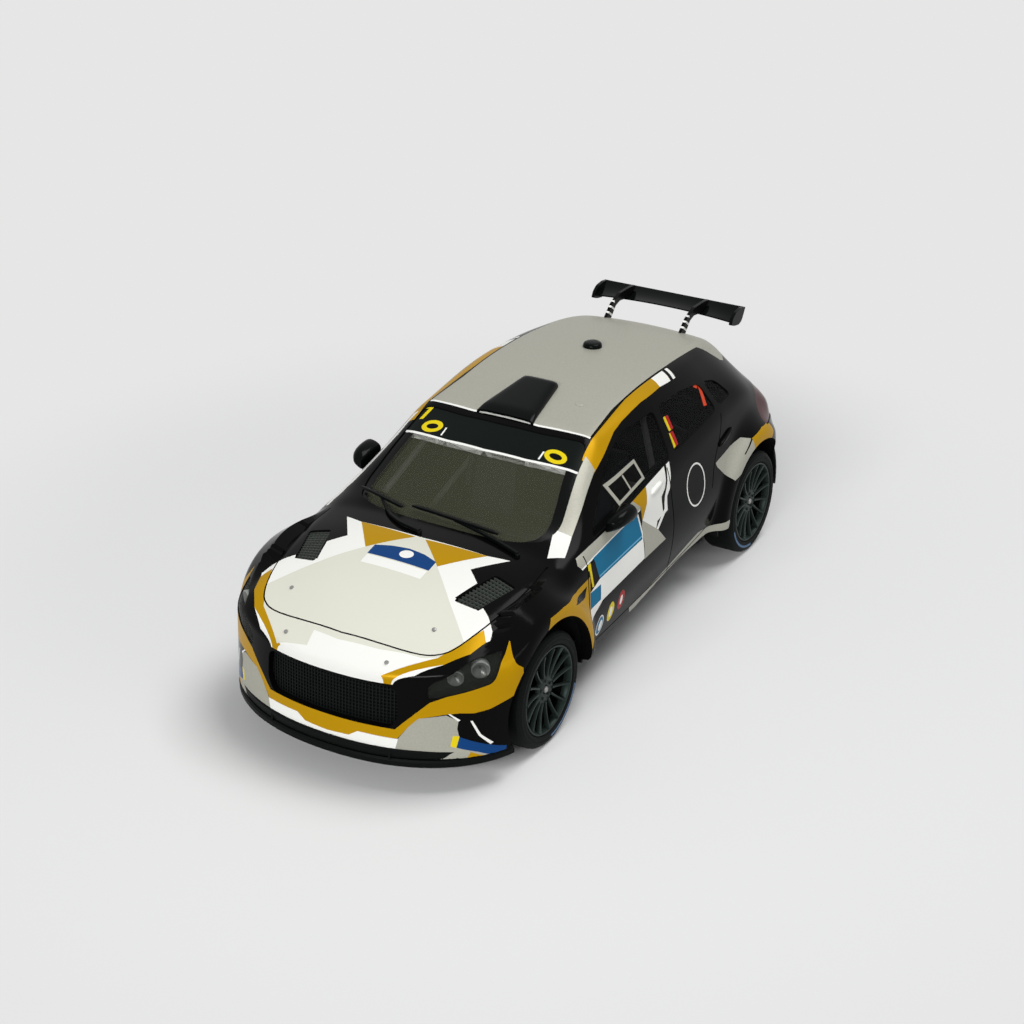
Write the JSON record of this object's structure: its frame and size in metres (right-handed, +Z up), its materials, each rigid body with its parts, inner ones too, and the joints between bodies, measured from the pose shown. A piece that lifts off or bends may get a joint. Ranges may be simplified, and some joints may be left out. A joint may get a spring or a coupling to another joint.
{
  "type": "rally car scale model",
  "caption": "Small die-cast style model of a wide-bodied five-door rally hatchback with roof scoop, tall rear wing on posts, full cabin and free-rolling spoked wheels.",
  "frame": {"origin": "on the ground plane under the middle of the bounding box, midway along the length and on the plane of symmetry", "axes": "+Z up, -Y towards the car's front, +X towards the car's left side"},
  "size_m": [0.0428, 0.0946, 0.0329],
  "materials": {
    "body_paint": "gloss",
    "chassis_plastic": "satin",
    "cabin_plastic": "matt",
    "seat_plastic": "matt",
    "cage_paint": "satin",
    "window_clear": "gloss",
    "lens_clear": "gloss",
    "lens_red": "gloss",
    "trim_black": "satin",
    "trim_gloss": "gloss",
    "axle_steel": "satin",
    "tyre_rubber": "matt",
    "rim_paint": "satin"
  },
  "bodies": {
    "chassis": {"body_shell": "body_paint", "chassis_plate": "chassis_plastic", "cabin_tub": "cabin_plastic", "dashboard": "cabin_plastic", "steering_wheel": "cabin_plastic", "seat_left": "seat_plastic", "seat_right": "seat_plastic", "roll_cage": "cage_paint", "windscreen": "window_clear", "rear_window": "window_clear", "side_windows_left": "window_clear", "side_windows_right": "window_clear", "headlamp_left": "lens_clear", "headlamp_right": "lens_clear", "taillamp_left": "lens_red", "taillamp_right": "lens_red", "bonnet_vent_left": "trim_black", "bonnet_vent_right": "trim_black", "front_grille": "trim_black", "front_splitter": "trim_gloss", "rear_diffuser": "trim_black", "roof_vent": "trim_black", "roof_antenna": "trim_black", "rear_wing": "trim_gloss", "wing_post_left": "trim_black", "wing_post_right": "trim_black", "mirror_left": "trim_gloss", "mirror_right": "trim_gloss", "wiper_left": "trim_black", "wiper_right": "trim_black"},
    "front_axle": {"axle_front": "axle_steel", "tyre_front_left": "tyre_rubber", "rim_front_left": "rim_paint", "tyre_front_right": "tyre_rubber", "rim_front_right": "rim_paint"},
    "rear_axle": {"axle_rear": "axle_steel", "tyre_rear_left": "tyre_rubber", "rim_rear_left": "rim_paint", "tyre_rear_right": "tyre_rubber", "rim_rear_right": "rim_paint"}
  },
  "joints": [
    {"name": "front_axle_roll", "type": "hinge", "parent": "chassis", "child": "front_axle", "pos_m": [0, -0.0279, 0.0076], "axis": [1, 0, 0], "continuous": true},
    {"name": "rear_axle_roll", "type": "hinge", "parent": "chassis", "child": "rear_axle", "pos_m": [0, 0.0321, 0.0076], "axis": [1, 0, 0], "continuous": true}
  ]
}
